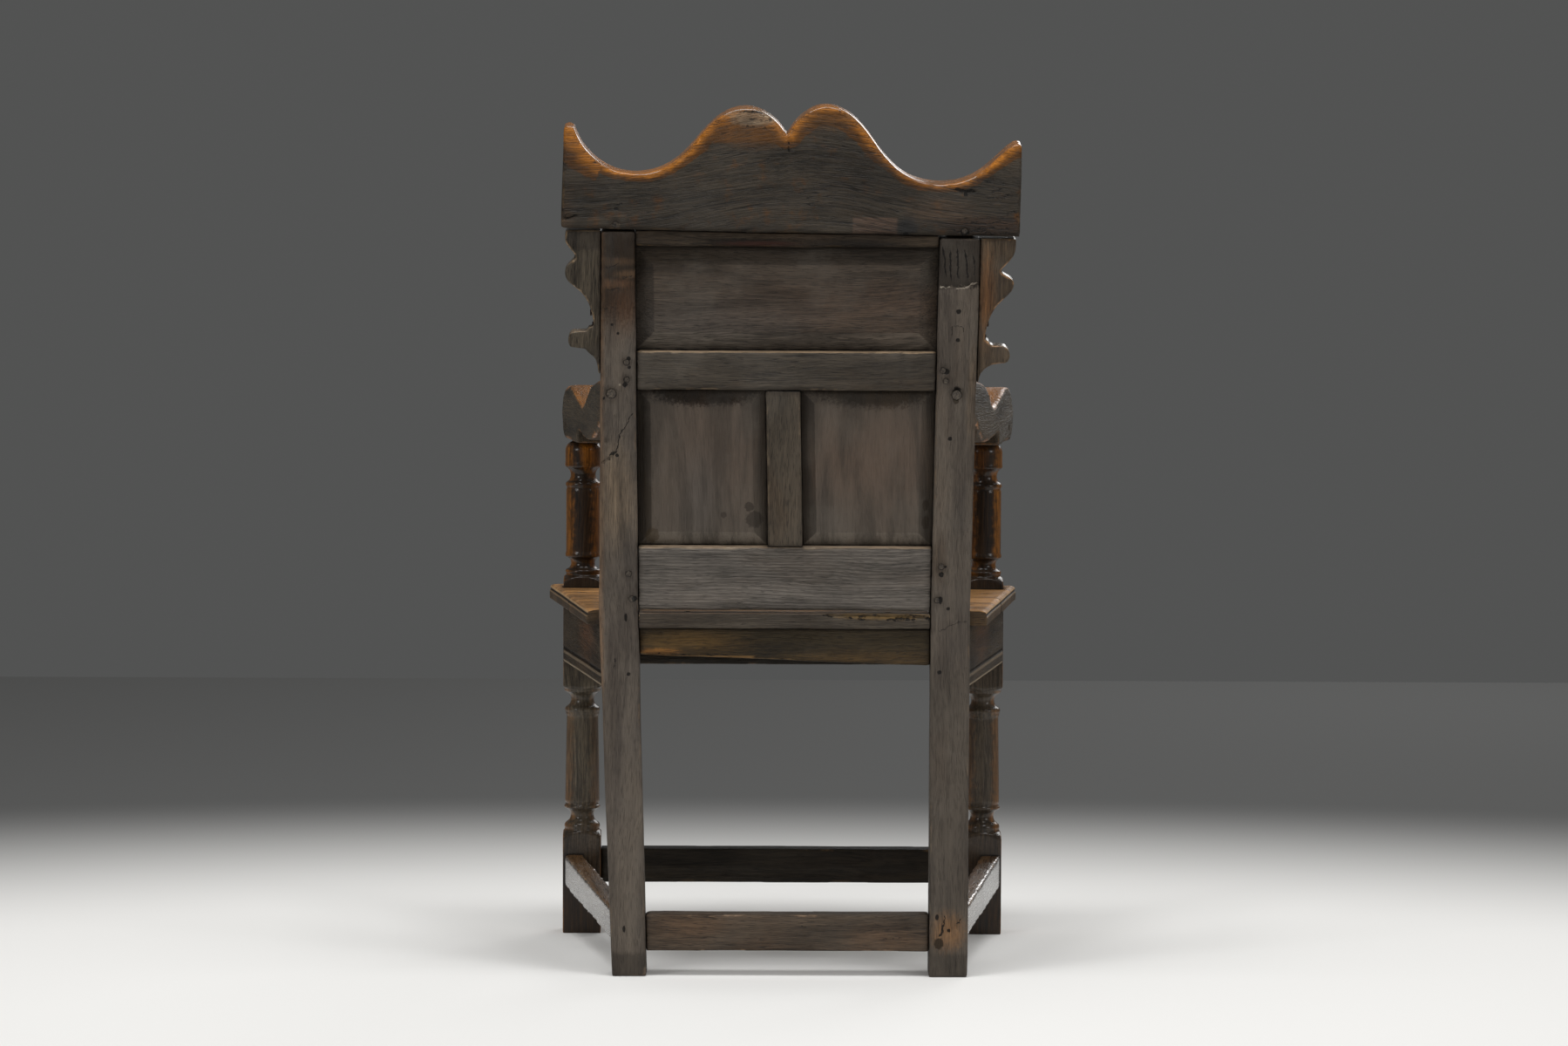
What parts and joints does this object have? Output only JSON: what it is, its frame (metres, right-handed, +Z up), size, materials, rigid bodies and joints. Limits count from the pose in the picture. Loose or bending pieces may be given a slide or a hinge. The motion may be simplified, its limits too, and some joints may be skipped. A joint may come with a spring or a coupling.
{
  "type": "armchair",
  "caption": "Joined wooden armchair with a panelled back, shaped crest rail, scrolled arms and turned front posts.",
  "frame": {"origin": "on the floor, under the middle of the chair's box", "axes": "+Z up, +X towards the sitter's left, the chair faces -Y"},
  "size_m": [0.642, 0.5536, 1.1331],
  "materials": {
    "oak_frame": "waxed, worn",
    "oak_back": "dusty, worn",
    "oak_seat": "waxed, worn",
    "oak_arm": "waxed, polished by hands",
    "oak_turned": "waxed, glossy",
    "oak_peg": "dark end grain",
    "iron_nail": "rusted"
  },
  "bodies": {
    "root": {"arm_left": "oak_arm", "arm_plugs": "oak_peg", "arm_post_pegs": "oak_peg", "arm_right": "oak_arm", "back_frame_pegs": "oak_peg", "back_muntin": "oak_back", "crest_pegs": "oak_peg", "crest_rail": "oak_frame", "ear_bracket_left": "oak_frame", "ear_bracket_nails": "iron_nail", "ear_bracket_right": "oak_frame", "front_leg_left": "oak_turned", "front_leg_right": "oak_turned", "front_seat_rail": "oak_frame", "front_stretcher": "oak_frame", "lower_back_panel_left": "oak_back", "lower_back_panel_right": "oak_back", "lower_back_rail": "oak_back", "middle_back_rail": "oak_back", "rear_leg_left": "oak_frame", "rear_leg_right": "oak_frame", "rear_seat_rail": "oak_frame", "rear_stretcher": "oak_frame", "seat_board_front": "oak_seat", "seat_board_pegs": "oak_peg", "seat_board_rear": "oak_seat", "seat_rail_pegs": "oak_peg", "side_seat_rail_left": "oak_frame", "side_seat_rail_right": "oak_frame", "side_stretcher_left": "oak_frame", "side_stretcher_right": "oak_frame", "stretcher_pegs": "oak_peg", "top_back_rail": "oak_back", "upper_back_panel": "oak_back"}
  },
  "joints": []
}
